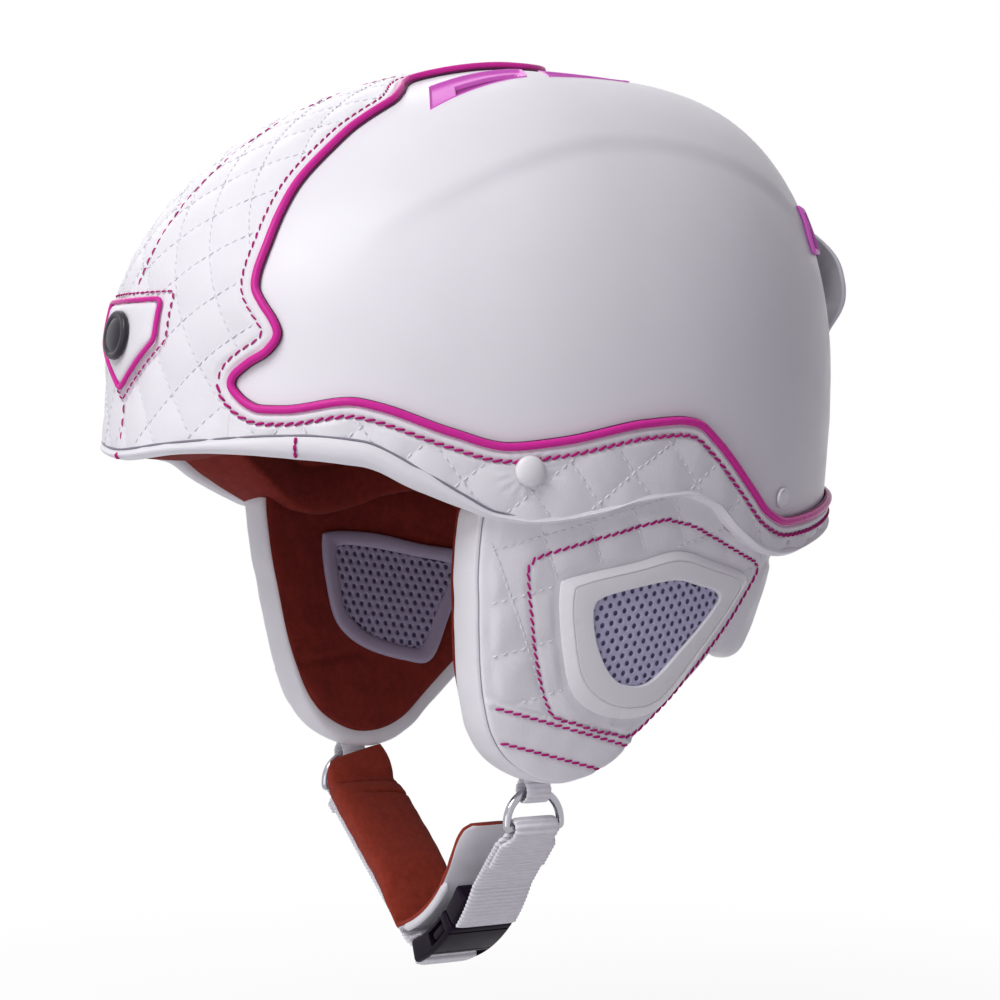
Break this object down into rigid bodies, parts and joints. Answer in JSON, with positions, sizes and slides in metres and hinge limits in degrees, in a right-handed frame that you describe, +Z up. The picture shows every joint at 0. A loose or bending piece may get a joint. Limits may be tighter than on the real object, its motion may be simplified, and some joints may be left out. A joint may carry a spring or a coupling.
{
  "type": "ski helmet",
  "caption": "Ski helmet: smooth shell with stitched leather brow and rim trim, top vents, padded ear flaps with mesh windows, buckled chin strap and rear goggle strap loop.",
  "frame": {"origin": "middle of the head opening, at the level of the rim", "axes": "+Z up through the crown, -Y to the front of the helmet, +X to the wearer's left"},
  "size_m": [0.2204, 0.3009, 0.3365],
  "materials": {
    "shell_white": "satin",
    "foam_grey": "matte",
    "lining_rust": "matte",
    "leather_white": "satin",
    "piping_pink": "satin",
    "vent_pink": "satin",
    "badge_dark": "gloss",
    "plastic_white": "satin",
    "frame_grey": "matte",
    "mesh_grey": "matte",
    "webbing_white": "matte",
    "chrome": "polished",
    "buckle_black": "satin"
  },
  "bodies": {
    "helmet": {"outer_shell": "shell_white", "foam_liner": "foam_grey", "crown_lining": "lining_rust", "brow_pad": "lining_rust", "leather_front_panel": "leather_white", "leather_rim_band": "leather_white", "rim_binding": "leather_white", "shell_piping": "piping_pink", "badge_patch": "leather_white", "badge_patch_piping": "piping_pink", "front_badge": "badge_dark", "front_vent_left": "vent_pink", "front_vent_right": "vent_pink", "rear_vent_left": "vent_pink", "rear_vent_right": "vent_pink", "exhaust_vents": "vent_pink", "trim_snaps": "plastic_white", "shell_rivets": "plastic_white", "goggle_loop_base": "leather_white", "goggle_snap_stud": "chrome", "neck_pad": "leather_white", "ear_pad_left": "leather_white", "ear_pad_right": "leather_white", "ear_lining_left": "lining_rust", "ear_lining_right": "lining_rust", "ear_vent_frame_left": "plastic_white", "ear_vent_frame_right": "plastic_white", "ear_vent_mesh_left": "mesh_grey", "ear_vent_mesh_right": "mesh_grey", "ear_inner_frame_left": "frame_grey", "ear_inner_frame_right": "frame_grey", "ear_inner_mesh_left": "mesh_grey", "ear_inner_mesh_right": "mesh_grey", "ring_tab_left": "webbing_white", "ring_tab_right": "webbing_white"},
    "goggle_flap": {"goggle_loop_flap": "leather_white", "goggle_snap_cap": "chrome"},
    "near_strap": {"strap_ring_left": "chrome", "near_webbing": "webbing_white", "buckle_plug": "buckle_black"},
    "far_strap": {"strap_ring_right": "chrome", "far_webbing": "webbing_white", "chin_pad": "lining_rust", "buckle_socket": "buckle_black"},
    "release_arm_front": {"buckle_arm_front": "buckle_black"},
    "release_arm_rear": {"buckle_arm_rear": "buckle_black"}
  },
  "joints": [
    {"name": "goggle_flap_hinge", "type": "hinge", "parent": "helmet", "child": "goggle_flap", "pos_m": [0, 0.1381, 0.0975], "axis": [1, 0, 0], "range_deg": [0, 100]},
    {"name": "chin_strap_drop", "type": "hinge", "parent": "helmet", "child": "far_strap", "pos_m": [-0.07, -0.014, -0.11], "axis": [0, 1, 0], "range_deg": [0, 55], "deforming": ["buckle_arm_front", "buckle_arm_rear"]},
    {"name": "near_strap_hang", "type": "hinge", "parent": "helmet", "child": "near_strap", "pos_m": [0.07, -0.014, -0.11], "axis": [0, -1, 0], "range_deg": [0, 33]},
    {"name": "buckle_release", "type": "hinge", "parent": "near_strap", "child": "release_arm_front", "pos_m": [0.03143, -0.0228, -0.16006], "axis": [0.699, 0, -0.7151], "range_deg": [0, 10], "stiffness_Nm_per_rad": 0.02},
    {"name": "buckle_release_rear", "type": "hinge", "parent": "near_strap", "child": "release_arm_rear", "pos_m": [0.03143, -0.0052, -0.16006], "axis": [-0.699, 0, 0.7151], "range_deg": [0, 10], "stiffness_Nm_per_rad": 0.02}
  ],
  "couplings": [
    {"joint": "near_strap_hang", "follows": "chin_strap_drop", "ratio": 0.6},
    {"joint": "buckle_release_rear", "follows": "buckle_release", "ratio": 1}
  ]
}
